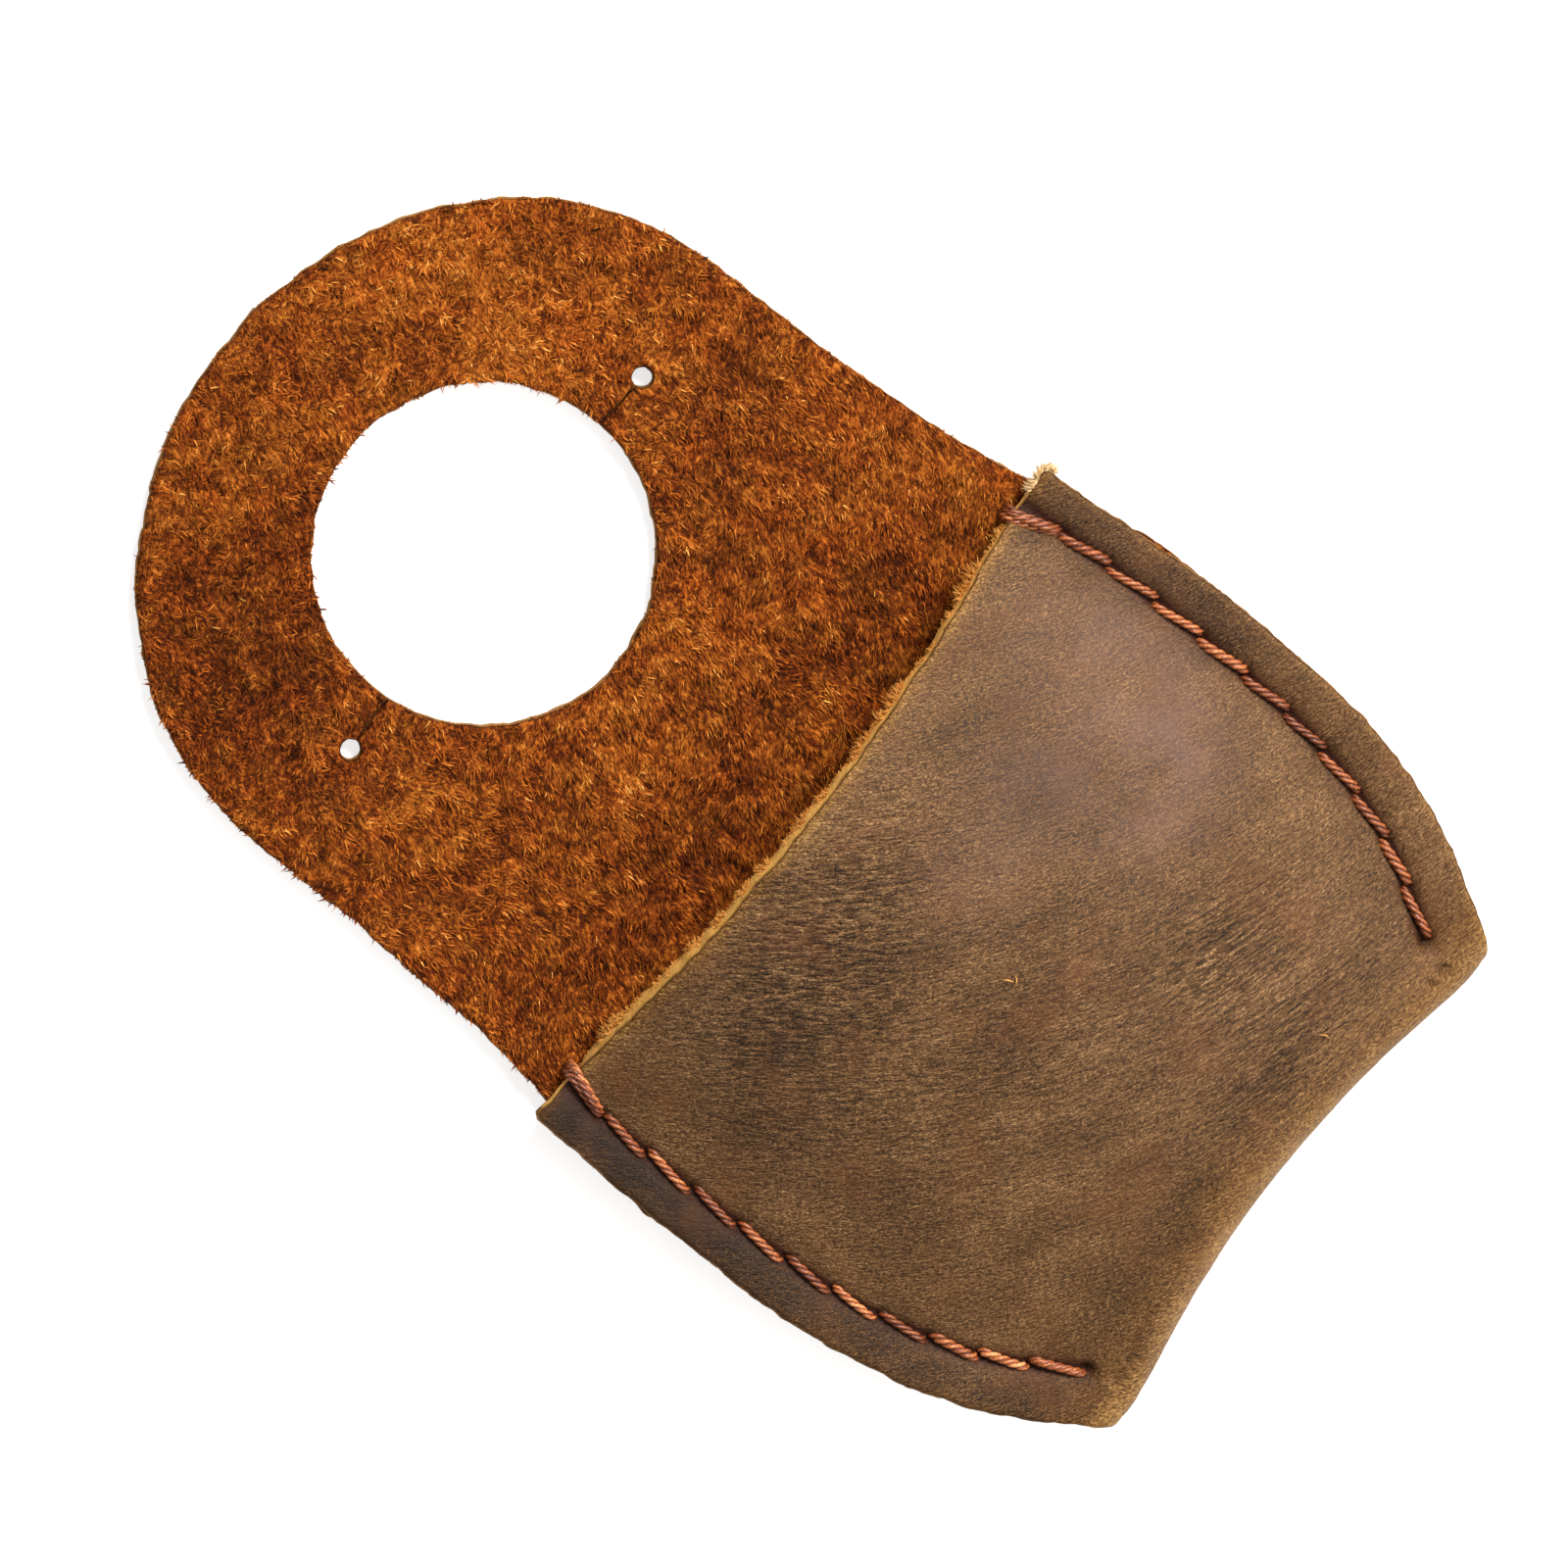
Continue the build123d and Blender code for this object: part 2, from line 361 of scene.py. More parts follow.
def cut_blank():
    """Flat points and triangles of the blank, its outer loop and its hole loop coming first."""
    outer, hole = outer_loop(), hole_loop()
    rim = np.vstack([outer, hole])
    outward = np.vstack([loop_normals(outer, True), loop_normals(hole, False)])
    hand_cut = 0.10 * ripple(rim, 5.0, 3.1, 2) + 0.09 * ripple(rim, 1.0, 8.7, 2)
    beside = np.abs(rim[:, 0])
    near_slit = (beside > hole_radius - 0.6) & (beside < relief_offset + 1.2) & (np.abs(rim[:, 1]) < 3)
    rim = rim + outward * np.where(near_slit, 0, hand_cut)[:, None]
    outer, hole = rim[:len(outer)], rim[len(outer):]

    seam_offsets = np.arange(-4, 5) * seam_step
    run = np.gradient(stitch_line, axis=0)
    aside = unit(columns([run[:, 1], -run[:, 0]]))
    spaced = np.arange(0, len(stitch_line), 4)
    seam_rows = np.vstack([stitch_line[spaced] + aside[spaced] * offset for offset in seam_offsets])
    seam_rows = np.vstack([seam_rows, seam_rows * [-1, 1]])
    seam_flat = np.vstack([seam_rows * [1, -1], flat_from_front(seam_rows[:, 0], seam_rows[:, 1])])

    low, high = rim.min(0), rim.max(0)
    rise = grid_step * sqrt(3) / 2
    grid = [(low[0] + grid_step * (i + 0.5 * (j % 2)), low[1] + rise * j)
            for j in range(int((high[1] - low[1]) / rise) + 1)
            for i in range(int((high[0] - low[0]) / grid_step) + 1)]
    grid = np.array(grid) + random.uniform(-0.06, 0.06, (len(grid), 2))

    edge_rows = np.vstack([rim - outward * depth for depth in edge_row_depths])
    edge_reach = np.repeat(edge_row_depths, len(rim))
    edge_rows = edge_rows[distance_to(edge_rows, rim) > 0.85 * edge_reach]
    seam_flat = seam_flat[distance_to(seam_flat, rim) > 0.85]
    grid = grid[distance_to(grid, rim) > 0.9]
    grid = grid[distance_to(grid, seam_flat) > 0.3]
    for centre, reach, _ in crease_patches[:3]:
        middle = flat_from_front(*(np.array([value], float) for value in centre))[0]
        grid = grid[(((grid - middle) / reach) ** 2).sum(1) > 1]
        across, up = (int(value / crease_step) + 1 for value in reach)
        patch = np.array([(crease_step * (i + 0.5 * (j % 2)), crease_step * 0.866 * j)
                          for j in range(-up - 2, up + 3) for i in range(-across, across + 1)])
        patch = patch[((patch / (np.array(reach) - 0.2)) ** 2).sum(1) < 1] + middle
        grid = np.vstack([grid, patch + random.uniform(-0.03, 0.03, patch.shape)])
    inner = np.vstack([edge_rows, seam_flat, grid])
    inner = inner[inside(inner, outer) & ~inside(inner, hole)]
    flat = np.vstack([rim, inner])

    def ring(start, count):
        return [(start + i, start + (i + 1) % count) for i in range(count)]

    limits = ring(0, len(outer)) + ring(len(outer), len(hole))
    _, _, faces, originals, _, _ = delaunay_2d_cdt([Vector(p) for p in flat], limits, [], 0, 1e-5)
    source = np.array([found[0] if found else -1 for found in originals])
    triangles = source[np.array([face for face in faces if len(face) == 3])]
    triangles = triangles[(triangles >= 0).all(1)]
    middle = flat[triangles].mean(1)
    triangles = triangles[inside(middle, outer) & ~inside(middle, hole)]
    turned = double_areas(flat, triangles) > 0
    triangles[turned] = triangles[turned][:, ::-1]
    return flat, triangles, len(outer), len(hole), outward


def colour(red, green, blue):
    """Linear colour of an sRGB colour given as 0 to 255."""
    share = np.array([red, green, blue]) / 255
    linear = np.where(share <= 0.04045, share / 12.92, ((share + 0.055) / 1.055) ** 2.4)
    return (*[float(value) for value in linear], 1.0)


def new_object(name, points, faces, attributes=(), smooth=True):
    """A mesh object from points in millimetres, with float or vector attributes on its points."""
    mesh = bpy.data.meshes.new(name)
    mesh.from_pydata((np.asarray(points) * MM).tolist(), [], [list(map(int, face)) for face in faces])
    for label, values in attributes:
        values = np.asarray(values, float)
        kind = "FLOAT" if values.ndim == 1 else "FLOAT_VECTOR"
        layer = mesh.attributes.new(label, kind, "POINT")
        layer.data.foreach_set("value" if kind == "FLOAT" else "vector", values.ravel())
    mesh.validate()
    mesh.shade_smooth() if smooth else mesh.shade_flat()
    made = bpy.data.objects.new(name, mesh)
    bpy.context.scene.collection.objects.link(made)
    return made


# Materials

class Shader:
    """A Principled material whose nodes are added by short calls."""

    def __init__(self, name, **settings):
        self.material = bpy.data.materials.new(name)
        self.material.use_nodes = True
        self.tree = self.material.node_tree
        self.surface = self.tree.nodes["Principled BSDF"]
        for label, value in settings.items():
            self.surface.inputs[label.replace("_", " ")].default_value = value

    def node(self, kind, inputs=(), **properties):
        made = self.tree.nodes.new(kind)
        for label, value in properties.items():
            setattr(made, label, value)
        for key, value in dict(inputs).items():
            self.feed(made.inputs[key], value)
        return made

    def feed(self, socket, value):
        if isinstance(value, bpy.types.NodeSocket):
            self.tree.links.new(value, socket)
        else:
            socket.default_value = value

    def attribute(self, name, vector=False):
        found = self.node("ShaderNodeAttribute", attribute_name=name)
        return found.outputs["Vector" if vector else "Fac"]

    def noise(self, place, scale, detail=3.0, roughness=0.55):
        settings = {"Vector": place, "Scale": scale, "Detail": detail, "Roughness": roughness}
        return self.node("ShaderNodeTexNoise", settings).outputs["Fac"]

    def stretched(self, place, scale_along, scale_across):
        scaled = {"Vector": place, "Scale": (scale_along, scale_across, 1)}
        return self.node("ShaderNodeMapping", scaled).outputs[0]

    def math(self, operation, first, second=0.0, third=0.0):
        made = self.node("ShaderNodeMath", {0: first, 1: second, 2: third}, operation=operation)
        return made.outputs[0]

    def span(self, value, low, high, to_low=0.0, to_high=1.0):
        settings = {"Value": value, "From Min": low, "From Max": high, "To Min": to_low, "To Max": to_high}
        return self.node("ShaderNodeMapRange", settings).outputs[0]

    def ramp(self, value, stops):
        """A colour ramp from stops of place, red, green and blue."""
        made = self.node("ShaderNodeValToRGB", {"Fac": value})
        elements = made.color_ramp.elements
        while len(elements) < len(stops):
            elements.new(0.5)
        for element, (place, *tint) in zip(elements, stops):
            element.position = place
            element.color = colour(*tint)
        return made.outputs["Color"]

    def mix(self, share, first, second):
        made = self.node("ShaderNodeMix", {"Factor": share}, data_type="RGBA")
        self.feed(made.inputs[6], first)    # the colour sockets have the same names as the float ones
        self.feed(made.inputs[7], second)
        return made.outputs[2]

    def bump(self, height, distance, strength=1.0, over=None):
        settings = {"Height": height, "Distance": distance * MM, "Strength": strength}
        if over is not None:
            settings["Normal"] = over
        return self.node("ShaderNodeBump", settings).outputs["Normal"]

    def finish(self, **links):
        for label, socket in links.items():
            self.feed(self.surface.inputs[label.replace("_", " ")], socket)
        return self.material


def grain_material():
    """Waxed pull-up leather, outside: brown taupe with a fine stipple, creases and rubbed places, and painted
    light and shade on its bulge, fold, creases and seams.
    """
    made = Shader("waxed_leather_grain", Specular_IOR_Level=0.16)
    sheet = made.attribute("sheet", vector=True)
    tone, wear_and_fold_highlight, dark, crease = (made.attribute(name) for name in ("tone", "wear_and_fold_highlight", "dark", "crease"))
    flow = made.attribute("flow", vector=True)
    clouds = made.noise(sheet, 0.13, 4.0, 0.6)
    drift = made.noise(made.stretched(flow, 0.12, 0.34), 1.0, 4.0, 0.6)
    stipple = made.noise(made.stretched(flow, 2.6, 6.0), 1.0, 2.0, 0.7)
    pores = made.noise(made.stretched(flow, 5.5, 8.5), 1.0, 1.0, 0.5)
    lines = made.noise(made.stretched(flow, 0.8, 3.1), 1.0, 3.0, 0.6)
    # Crease lines darker in their grooves and lighter on their ridges: painted shade and light that follow
    # the crease bump.
    crease_line_shade = made.span(lines, 0.38, 0.62, -0.15, 0.14)
    level = made.math("MULTIPLY_ADD", crease_line_shade, made.math("ADD", crease, 0.35), tone)
    for pattern, low, swing in (
            (clouds, 0.3, 0.08), (drift, 0.3, 0.08), (stipple, 0.36, 0.18), (pores, 0.36, 0.17)):
        level = made.math("ADD", level, made.span(pattern, low, 1 - low, -swing, swing))
    base = made.ramp(level, [
        (0.0, 26, 15, 6), (0.25, 55, 36, 18), (0.5, 88, 61, 35),
        (0.75, 122, 90, 58), (1.0, 168, 134, 92)])
    red = made.noise(sheet, 0.16, 3.0, 0.5)
    base = made.mix(made.span(red, 0.52, 0.72, 0.0, 0.3), base, colour(104, 62, 34))
    base = made.mix(made.math("MULTIPLY", made.attribute("mauve"), 0.8), base, colour(108, 84, 78))
    # Lighter colour of rubbed places; at the fold it is also a painted highlight.
    rubbed_and_lit = made.ramp(level, [
        (0.15, 64, 38, 12), (0.5, 112, 76, 34), (0.85, 164, 126, 70)])
    base = made.mix(wear_and_fold_highlight, base, rubbed_and_lit)
    # Painted shade in the seam valleys and needle holes.
    base = made.mix(dark, base, colour(44, 18, 8))
    line_height = made.math("MULTIPLY", lines, made.math("ADD", crease, 0.4))
    normal = made.bump(line_height, 0.32)
    normal = made.bump(stipple, 0.10, over=normal)
    rough = made.span(stipple, 0.3, 0.7, 0.48, 0.66)
    return made.finish(Base_Color=base, Normal=normal, Roughness=rough)


def nap_tint(shader, level, gold):
    """Colour of the suede from dark pits to pale tips, reddish or golden."""
    red_brown = shader.ramp(level, [
        (0.0, 36, 11, 2), (0.3, 84, 32, 6), (0.55, 140, 66, 15),
        (0.8, 182, 102, 34), (1.0, 212, 148, 72)])
    golden = shader.ramp(level, [
        (0.0, 46, 19, 3), (0.35, 104, 52, 11), (0.7, 164, 100, 32),
        (1.0, 210, 154, 80)])
    return shader.mix(gold, red_brown, golden)


def flesh_material():
    """Suede side: matted fibres in lumps, with painted shade in the pits between them and painted light on
    the lumps.
    """
    made = Shader("suede_flesh", Roughness=0.95, Specular_IOR_Level=0.08)
    sheet = made.attribute("sheet", vector=True)
    fibres = made.noise(made.stretched(made.attribute("comb", vector=True), 1.8, 4.0), 1.0, 3.0, 0.7)
    lumps = made.noise(sheet, 1.35, 3.0, 0.6)
    level = made.math("ADD", made.attribute("tone"), made.span(fibres, 0.34, 0.66, -0.32, 0.32))
    # Lighter on the bumped lumps and darker between them: painted light and shade.
    level = made.math("ADD", level, made.span(lumps, 0.34, 0.66, -0.16, 0.16))
    base = nap_tint(made, level, made.attribute("gold"))
    normal = made.bump(lumps, 0.45, 0.9)
    normal = made.bump(fibres, 0.30, over=normal)
    return made.finish(Base_Color=base, Normal=normal)


def edge_material():
    """Raw cut edge: golden tan fibres, darker towards the waxed side."""
    made = Shader("cut_edge", Roughness=0.9, Specular_IOR_Level=0.1)
    sheet = made.attribute("sheet", vector=True)
    depth = made.attribute("depth")
    fibres = made.noise(sheet, 2.2, 5.0, 0.7)
    level = made.math("ADD", made.span(fibres, 0.3, 0.7, -0.25, 0.25), depth)
    base = made.ramp(level, [
        (0.0, 160, 118, 56), (0.3, 190, 144, 74), (0.7, 198, 150, 78),
        (1.0, 172, 106, 38)])
    raw = made.ramp(fibres, [(0.3, 44, 20, 7), (0.7, 112, 60, 22)])
    base = made.mix(made.attribute("wear_and_fold_highlight"), raw, base)
    return made.finish(Base_Color=base, Normal=made.bump(fibres, 0.25, 0.8))


def nap_material():
    """Fibres of the suede nap: painted shade at the root, orange brown to tan at the tip, with a painted
    highlight there.
    """
    made = Shader("suede_nap", Roughness=0.9, Specular_IOR_Level=0.1)
    base = nap_tint(made, made.attribute("tone"), made.attribute("gold"))
    return made.finish(Base_Color=base)


def frayed_material():
    """Pale bare fibres, at the torn tip of an ear."""
    made = Shader("frayed_tip", Roughness=0.95, Specular_IOR_Level=0.05)
    base = made.ramp(made.attribute("tone"), [(0.6, 140, 100, 58), (1.0, 224, 194, 146)])
    return made.finish(Base_Color=base)


def thread_material():
    """Waxed copper-brown polyester thread."""
    made = Shader("copper_thread", Roughness=0.38, Specular_IOR_Level=0.5)
    place = made.node("ShaderNodeNewGeometry").outputs["Position"]
    in_mm = made.node("ShaderNodeMapping", {"Vector": place, "Scale": (1 / MM, 1 / MM, 1 / MM)}).outputs[0]
    fibres = made.noise(in_mm, 9.0, 2.0)
    level = made.math("ADD", made.attribute("tone"), made.span(fibres, 0.3, 0.7, -0.18, 0.18))
    base = made.ramp(level, [
        (0.0, 24, 8, 3), (0.35, 62, 26, 11), (0.65, 122, 60, 28),
        (0.85, 172, 98, 52), (1.0, 222, 150, 94)])
    return made.finish(Base_Color=base, Normal=made.bump(fibres, 0.05, 0.5))


slit_heading = np.array([cos(slit_tilt), sin(slit_tilt)])


def cut_distance(flats):
    """Distance to the nearer slit and relief hole, in the flat."""
    mirrored = columns([np.abs(flats[:, 0]), flats[:, 1]])
    along = np.clip(mirrored @ slit_heading, hole_radius, relief_offset)[:, None]
    slit = np.linalg.norm(mirrored - along * slit_heading, axis=1) - slit_half_width
    relief = np.linalg.norm(mirrored - relief_offset * slit_heading, axis=1) - relief_radius
    return np.minimum(slit, relief)


# Leather

nap_depth = 0.20


def nap_relief(flats):
    """Lumps and pits of the nap, about -1 to 1."""
    return ripple(flats, 1.15, 2.0, 2)


# Darker and lighter places of the nap, where it was brushed another way, and a painted shadow of the lip
# along the band just above it: middle, reach and strength
nap_patches_and_lip_shadow = [((-16, 9), (9, 8), -0.18), ((18, -11), (8, 8), -0.08), ((2, -24), (26, 4), -0.12),
               ((17, 15), (12, 8), 0.08), ((-21, -15), (8, 8), -0.07)]


def nap_tone(flats):
    """Lightness of the nap: painted shade in its pits and light on its lumps, tufts, broad patches where it
    was brushed another way, and a painted shadow of the lip.
    """
    # The relief term darkens the pits and lightens the lumps of the nap: painted shade and light.
    tone = 0.43 + 0.11 * nap_relief(flats) + 0.05 * ripple(flats, 5.0, 13.0, 2)
    return tone + patchwork(flats * [1, -1], nap_patches_and_lip_shadow)


def nap_gold(flats):
    """How golden rather than reddish the nap is."""
    return np.clip(0.33 + 0.28 * ripple(flats, 1.8, 41.0, 3), 0, 1)


def nap_comb(flats):
    """Coordinates along and across the way that the nap was combed, wavering a little."""
    waver = 0.9 * ripple(flats, 5.0, 23.0, 2)
    turned = flats @ np.array([[-0.6, -0.8], [0.8, -0.6]])
    return turned + columns([waver, -waver])


# Lighter and darker places of the pocket's front, mostly painted light and shade of its bulge and of its
# creases, and its mauve sheen: middle, reach and strength
front_shading_patches = [((8, -33), (16, 10), 0.01), ((19, -44), (8, 9), 0.12), ((-13, -37), (9, 7), -0.12),
                 ((-20, -48), (7, 16), -0.02), ((10.5, -59.3), (5, 3.2), -0.09), ((-2, -50), (7, 4), -0.10),
                 ((6.5, -67.8), (6, 3), -0.03), ((-6, -70), (9, 3.5), -0.12), ((17, -42), (11, 10), -0.16)]
mauve_patches = [((21.7, -38), (5, 6), 0.45), ((18, -47), (6, 5), 0.6), ((8, -40), (8, 4), 0.35)]


def paint_leather(flat, place, rim_distance, seam_distance, hole_distance):
    """Tone, wear, darkness, crease and mauve share of each flat point's grain side. The tone holds painted
    light and shade of the bulge, the margins and the fold, the wear holds a painted highlight on the fold
    besides real rubbing, and the darkness is painted shade of the seam valleys and needle holes.
    """
    plan = place[:, :2]
    front = (flat[:, 1] > -fold_corner_y + 2) & (place[:, 2] > leather)
    sewn = plan[:, 1] < mouth_y + 1
    # Painted light and shade of the bulge and its creases, from the patches above.
    tone = 0.50 + patchwork(plan, front_shading_patches)
    outside_seam = np.abs(plan[:, 0]) > np.interp(plan[:, 1], sewn_line[::-1, 1], sewn_line[::-1, 0])
    # Seam margins outside the stitches, darker on the left than on the right: painted shade and light, the
    # left margin facing away from the key light.
    left_margin_shading = np.interp(plan[:, 1], [-60, -42], [-0.18, -0.46])
    right_margin_shading = np.interp(plan[:, 1], [-62, -48], [0.02, -0.12])
    tone += np.where(outside_seam, np.where(plan[:, 0] < 0, left_margin_shading, right_margin_shading), 0)
    tone = np.where(front, tone, 0.42 + 0.05 * ripple(flat, 9.0, 2.0))
    fold_height = plan[:, 1] - fold_line_y(plan[:, 0])
    below_mouth = plan[:, 1] < mouth_y
    # Lighter towards the fold: partly rubbed pull-up leather, partly a painted highlight on the rounded fold.
    rubbed_and_lit = np.clip(1 - fold_height / 5.5, 0, 1) ** 1.2 * (0.75 + 0.3 * ripple(flat, 3.0, 5.0))
    wear_and_fold_highlight = np.where(below_mouth, 0.75 * rubbed_and_lit, 0)
    # Lighter along the fold's rim: painted highlight.
    tone += np.where(below_mouth, 0.20 * np.clip(1 - fold_height / 1.5, 0, 1), 0)
    # Darker a few millimetres above the fold on the right: painted shade where the bulge turns down.
    tone -= 0.05 * np.exp(-((fold_height - 4.5) / 2.2) ** 2) * front * (plan[:, 0] > -4)
    wear_and_fold_highlight += 0.45 * np.exp(-(rim_distance / 0.5) ** 2)
    lip_distance = lip_line_y(plan[:, 0]) - plan[:, 1]
    wear_and_fold_highlight += (0.55 * np.exp(-(lip_distance / 0.35) ** 2) + 0.2 * np.exp(-(lip_distance / 1.2) ** 2)) * front
    # Darker along the stitch lines and round the needle holes: painted shade in the seam valleys and holes.
    dark = (0.90 * np.exp(-(seam_distance / 0.55) ** 4) + 0.30 * np.exp(-(seam_distance / 1.2) ** 2)) * sewn
    dark = np.maximum(dark, np.exp(-(hole_distance / 0.5) ** 4))
    crease = front * patchwork(plan, crease_patches)
    mauve = np.clip(patchwork(plan, mauve_patches) * (0.8 + 0.5 * ripple(flat, 4.0, 9.0)), 0, 0.7) * front
    return tone, np.clip(wear_and_fold_highlight, 0, 0.85), np.clip(dark, 0, 1), crease, mauve


def edge_drop(distance, radius):
    """How far a rounded edge falls away, at a distance from the rim."""
    near = np.clip(radius - distance, 0, radius)
    return radius - np.sqrt(radius ** 2 - near ** 2)


def make_leather():
    """The folded blank as one closed mesh, replacing its four CAD nodes."""
    flat, triangles, outer_count, hole_count, outward = cut_blank()
    rim_count = outer_count + hole_count
    middle = middle_surface(flat)
    normal = flesh_normal(flat)
    rim_distance = distance_to(flat, flat[:rim_count])
    grain = middle - half_leather * normal
    flesh = middle + half_leather * normal
    seam_distance = distance_to(grain[:, :2], both_sewn_lines)
    hole_distance = distance_to(grain[:, :2], both_needle_holes)
    tone, wear_and_fold_highlight, dark, crease, mauve = paint_leather(flat, grain, rim_distance, seam_distance, hole_distance)

    # Grain side: rounded cut edge, sewn valleys, needle dents, creases and a slow unevenness
    sewn = grain[:, 1] < mouth_y + 1.5
    front = grain[:, 2] > leather
    lip_start = flat[:, 1].max() - lip_depth
    into = edge_drop(rim_distance, np.where(flat[:, 1] > lip_start, 0.10, 0.30))
    valley = np.where(front, 0.38, 0.80) * np.exp(-(seam_distance / np.where(front, 0.65, 0.75)) ** 2)
    valley += 0.20 * front * np.exp(-(seam_distance / 1.6) ** 2)
    dents = 0.45 * np.exp(-(hole_distance / 0.45) ** 2)
    into += np.where(sewn, valley + np.where(front, dents, 0.2 * dents), 0)
    flow = crease_flow(flat)
    wavelets = ripple(flow * [0.28, 1.5], 1.0, 4.0, 2)
    into += 0.075 * crease * wavelets
    into += np.where(front, 0.05, 0.03) * (1 + ripple(flat, 6.0, 1.0, 3))
    into += 0.015 * (1 + ripple(flat, 1.1, 6.0, 2))
    grain = grain + into[:, None] * normal

    # Flesh side: lumps of nap, only where the layers are apart
    open_flesh = np.clip((-flat[:, 1] - mouth_y + 34) / 3, 0, 1)
    nap = nap_depth * (nap_relief(flat) - 0.5)
    flesh = flesh + (nap * open_flesh - edge_drop(rim_distance, 0.3))[:, None] * normal

    # Cut edge: rows between the two sides, bulged and ragged
    rim = np.arange(rim_count)
    step = 0.05
    out_3d = unit(middle_surface(flat[rim] + outward * step) - middle_surface(flat[rim] - outward * step))
    at_lip = (flat[rim, 1] > lip_start) & (np.abs(flat[rim, 0]) < 29)
    bevel = 0.26 - 0.010 * flat[rim, 0] + 0.10 * ripple(flat[rim], 2.2, 2.0, 2)
    bevel *= np.where(at_lip, np.clip((lip_half_width - np.abs(flat[rim, 0])) / 3, 0, 1), 0)
    flesh[rim] += bevel[:, None] * out_3d
    wall_rows = []
    wall_depths = (0.2, 0.4, 0.6, 0.8)
    for row, share in enumerate(wall_depths):
        bulge = 0.12 * sin(pi * share) + 0.06 * ripple(flat[rim], 0.8, 3.0 + 5 * row, 2)
        wall_rows.append(grain[rim] * (1 - share) + flesh[rim] * share + bulge[:, None] * out_3d)
    count = len(flat)
    points = np.vstack([grain, flesh] + wall_rows)
    points[:, 2] = np.maximum(points[:, 2], 0.0)
    levels = [rim] + [2 * count + row * rim_count + rim for row in range(len(wall_rows))] + [count + rim]
    next_outer = np.roll(np.arange(outer_count), -1)
    next_hole = outer_count + np.roll(np.arange(hole_count), -1)
    ahead = np.concatenate([next_outer, next_hole])
    pairs = zip(levels, levels[1:])
    walls = np.vstack([columns([low[ahead], low, high, high[ahead]]) for low, high in pairs])
    faces = triangles.tolist() + (triangles[:, ::-1] + count).tolist() + walls.tolist()

    def both(values, edge_values):
        return np.concatenate([values, values] + [edge_values] * len(wall_rows))

    sheet = columns([flat, np.zeros(count)])
    comb = columns([nap_comb(flat), np.zeros(count)])
    wall_sheets = [columns([flat[rim], np.full(rim_count, leather * share)]) for share in wall_depths]
    lip_or_tab = np.where(at_lip, 1.0, np.where(flat[rim, 1] < -mouth_y - 1, 0.35, 0.2))
    depth = np.concatenate([np.zeros(count), np.ones(count), np.repeat(wall_depths, rim_count)])
    leather_piece = new_object("leather_blank", points, faces, [
        ("sheet", np.vstack([sheet, sheet] + wall_sheets)),
        ("flow", np.vstack([columns([flow, np.zeros(count)])] * 2 + wall_sheets)),
        ("comb", both(comb, comb[rim])),
        ("tone", np.concatenate([tone, nap_tone(flat)] + [tone[rim]] * len(wall_rows))),
        ("gold", both(nap_gold(flat), nap_gold(flat[rim]))),
        ("wear_and_fold_highlight", np.concatenate([wear_and_fold_highlight, np.zeros(count)] + [lip_or_tab] * len(wall_rows))),
        ("dark", both(dark, dark[rim])),
        ("crease", both(crease, crease[rim])),
        ("mauve", both(mauve, mauve[rim])),
        ("depth", depth)])
    for material in (grain_material(), flesh_material(), edge_material()):
        leather_piece.data.materials.append(material)
    regions = np.concatenate([np.zeros(len(triangles)), np.ones(len(triangles)), np.full(len(walls), 2)])
    leather_piece.data.polygons.foreach_set("material_index", regions.astype(np.int32))
    area = np.abs(double_areas(flat, triangles)).sum() / 2
    return leather_piece, area, flat, outer_count, hole_count, out_3d, flesh, grain


def cross_neck(piece):
    """Bakes a piece's transform into its mesh."""
    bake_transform(piece)


leather_piece, blank_area, flat, outer_count, hole_count, rim_out, flesh_points, grain_points = make_leather()
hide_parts("hanging_tab", "pocket_back", "pocket_fold", "pocket_front")
cross_neck(leather_piece)


# Nap

def make_blades(name, roots, headings, lengths, widths, lifts, tones, lean, gold):
    """Tapered three-sided fibres, each bent over once. Headings are unit vectors in the plane."""
    count = len(roots)
    up = np.tile([0.0, 0.0, 1.0], (count, 1))
    flat_run = columns([headings, np.zeros(count)])
    aside = np.cross(up, flat_run)
    first = flat_run * np.cos(lifts)[:, None] + up * np.sin(lifts)[:, None]
    last_lift = lifts * lean
    second = flat_run * np.cos(last_lift)[:, None] + up * np.sin(last_lift)[:, None]
    middle = roots + first * (lengths * 0.5)[:, None]
    tip = middle + second * (lengths * 0.5)[:, None]
    points = np.empty((count, 7, 3))
    for corner in range(3):
        turn = 2 * pi * corner / 3
        offset = aside * cos(turn) + np.cross(first, aside) * sin(turn)
        points[:, corner] = roots + offset * (widths * 0.5)[:, None]
        points[:, 3 + corner] = middle + offset * (widths * 0.38)[:, None]
    points[:, 6] = tip
    points[:, :, 2] = np.maximum(points[:, :, 2], 0.02)
    pattern = [(0, 2, 1)]
    for corner in range(3):
        after = (corner + 1) % 3
        pattern += [(corner, after, 3 + after), (corner, 3 + after, 3 + corner), (3 + corner, 3 + after, 6)]
    faces = (np.array(pattern)[None] + 7 * np.arange(count)[:, None, None]).reshape(-1, 3)
    # Darker at the root and lighter at the tip: painted shade among the roots and a painted highlight on the
    # tips.
    shade = tones[:, None] + np.array([-0.12, -0.12, -0.12, 0.0, 0.0, 0.0, 0.05])
    marks = [("tone", np.clip(shade, 0, 1).ravel()), ("gold", np.repeat(np.clip(gold, 0, 1), 7))]
    return new_object(name, points.reshape(-1, 3), faces, marks, smooth=False)


